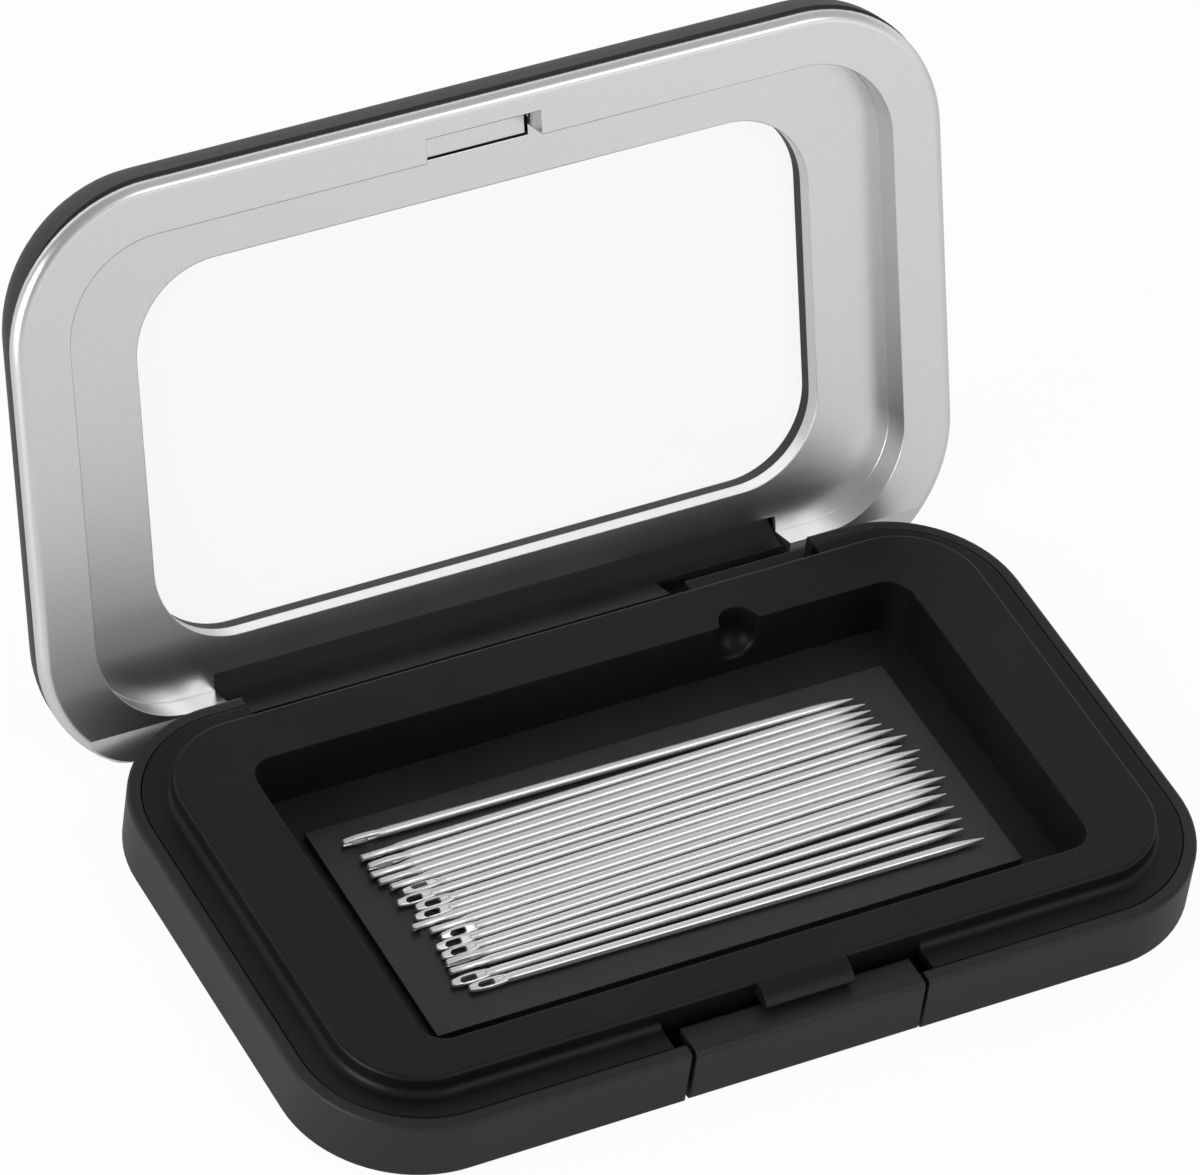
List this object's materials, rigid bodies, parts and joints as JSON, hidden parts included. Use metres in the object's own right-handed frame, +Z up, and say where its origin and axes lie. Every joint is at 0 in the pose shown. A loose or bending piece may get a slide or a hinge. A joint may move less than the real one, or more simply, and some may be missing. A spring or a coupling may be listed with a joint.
{
  "type": "magnetic needle case",
  "caption": "Flat hinged sewing-needle case standing open: black base with a magnet sheet in a sunken well of needles, silver-lined windowed lid and a push button at the front.",
  "frame": {"origin": "centre of the base's underside, on the surface that the case stands on", "axes": "+X along the hinge, to the right of someone facing the push button; +Y from the button to the hinge; +Z up"},
  "size_m": [0.0942, 0.0798, 0.0524],
  "materials": {
    "black_shell": "fine satin black moulding",
    "black_tray": "matt black moulding",
    "black_button": "satin black moulding",
    "magnet": "dull dark grey flexible magnet sheet",
    "pin_steel": "bright drawn wire",
    "silver_liner": "satin silver lacquer on plastic",
    "glue": "black set glue",
    "clear_pane": "clear polished plastic sheet",
    "needle_steel": "bright nickel-plated steel"
  },
  "bodies": {
    "base": {"base_shell": "black_shell", "tray_frame": "black_tray", "magnet_sheet": "magnet", "hinge_pin_left": "pin_steel", "hinge_pin_right": "pin_steel", "needle_01": "needle_steel", "needle_02": "needle_steel", "needle_03": "needle_steel", "needle_04": "needle_steel", "needle_05": "needle_steel", "needle_06": "needle_steel", "needle_07": "needle_steel", "needle_08": "needle_steel", "needle_09": "needle_steel", "needle_10": "needle_steel", "needle_11": "needle_steel", "needle_12": "needle_steel", "needle_13": "needle_steel", "needle_14": "needle_steel", "needle_15": "needle_steel", "needle_16": "needle_steel", "needle_17": "needle_steel", "needle_18": "needle_steel", "needle_19": "needle_steel"},
    "lid": {"lid_shell": "black_shell", "lid_liner": "silver_liner", "window_glue": "glue", "lid_window": "clear_pane"},
    "button": {"latch_button": "black_button"}
  },
  "joints": [
    {"name": "lid_hinge", "type": "hinge", "parent": "base", "child": "lid", "pos_m": [0, 0.0254, 0.00283], "axis": [1, 0, 0], "range_deg": [0, 109.6]},
    {"name": "button_press", "type": "slide", "parent": "base", "child": "button", "axis": [0, 1, 0], "range_m": [0, 0.00075], "stiffness_N_per_m": 800, "springref_m": -0.0005}
  ]
}
